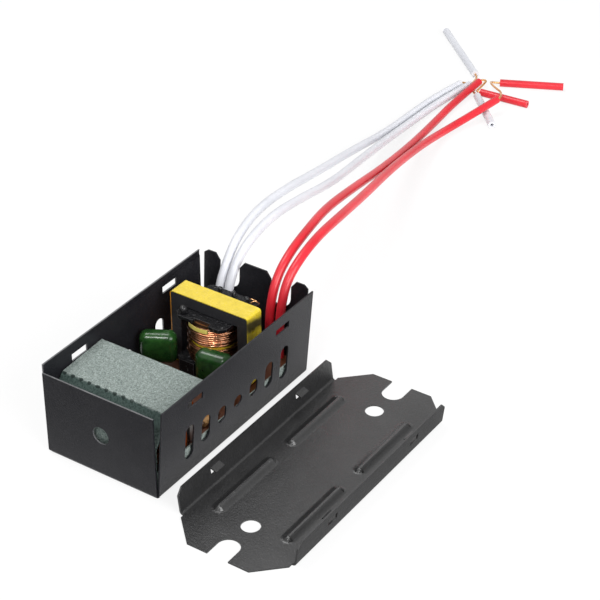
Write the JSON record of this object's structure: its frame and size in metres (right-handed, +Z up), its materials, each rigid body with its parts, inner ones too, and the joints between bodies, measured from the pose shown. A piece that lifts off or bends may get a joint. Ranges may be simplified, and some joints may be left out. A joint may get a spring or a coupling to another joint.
{
  "type": "electronic transformer",
  "caption": "Opened electronic transformer: black folded steel case with board, wound ferrite core and capacitors, stripped lead wires out of its end, slotted cover plate beside it.",
  "frame": {"origin": "middle of the case's underside, on the surface that the case and its cover plate stand on", "axes": "+Z up, +Y along the case from its closed front wall to the lead slots, +X from the case towards the cover plate"},
  "size_m": [0.135, 0.3167, 0.0362],
  "materials": {
    "case": "satin black stoved paint on folded steel sheet",
    "plate": "fine-textured dark grey powder coat on steel sheet",
    "paper": "grey-green speckled insulating paper",
    "board": "brown laminate",
    "ferrite": "dark grey sintered ferrite",
    "tape": "yellow film tape",
    "bobbin": "black moulded plastic",
    "tinned": "tinned wire and metal",
    "copper_fine": "enamelled fine copper wire",
    "copper_heavy": "enamelled heavy copper wire",
    "film_green": "glossy dark green dipped coating",
    "film_brown": "glossy orange-brown dipped coating",
    "spreader": "plain rolled aluminium",
    "epoxy": "black moulded epoxy",
    "fasteners": "zinc-plated steel",
    "resistor": "beige lacquer",
    "trigger": "dark blue glassy lacquer",
    "disc": "orange-brown dipped coating",
    "solder": "soft solder",
    "lead_white": "smooth white wire insulation",
    "lead_red": "smooth red wire insulation",
    "strand": "bare copper wire"
  },
  "bodies": {
    "root": {"case": "case", "cover_plate": "plate", "insulating_paper": "paper", "circuit_board": "board", "core_upper": "ferrite", "core_lower": "ferrite", "core_tape": "tape", "bobbin": "bobbin", "bobbin_pins": "tinned", "primary_winding": "copper_fine", "winding_tape": "tape", "secondary_winding": "copper_heavy", "film_capacitor_left": "film_green", "film_capacitor_right": "film_green", "input_capacitor": "film_brown", "heat_spreader": "spreader", "transistor_left": "epoxy", "transistor_right": "epoxy", "transistor_tabs": "tinned", "spreader_screws": "fasteners", "drive_toroid": "ferrite", "drive_windings": "copper_fine", "rectifier_diodes": "epoxy", "fuse_resistor": "resistor", "resistors": "resistor", "trigger_diode": "trigger", "start_capacitor": "disc", "component_legs": "tinned", "solder_joints": "solder", "lead_white_left": "lead_white", "lead_white_right": "lead_white", "lead_red_left": "lead_red", "lead_red_right": "lead_red", "copper_white_left": "strand", "copper_white_right": "strand", "copper_red_left": "strand", "copper_red_right": "strand", "slug_white_left": "lead_white", "slug_white_right": "lead_white", "slug_red_left": "lead_red", "slug_red_right": "lead_red"}
  },
  "joints": []
}
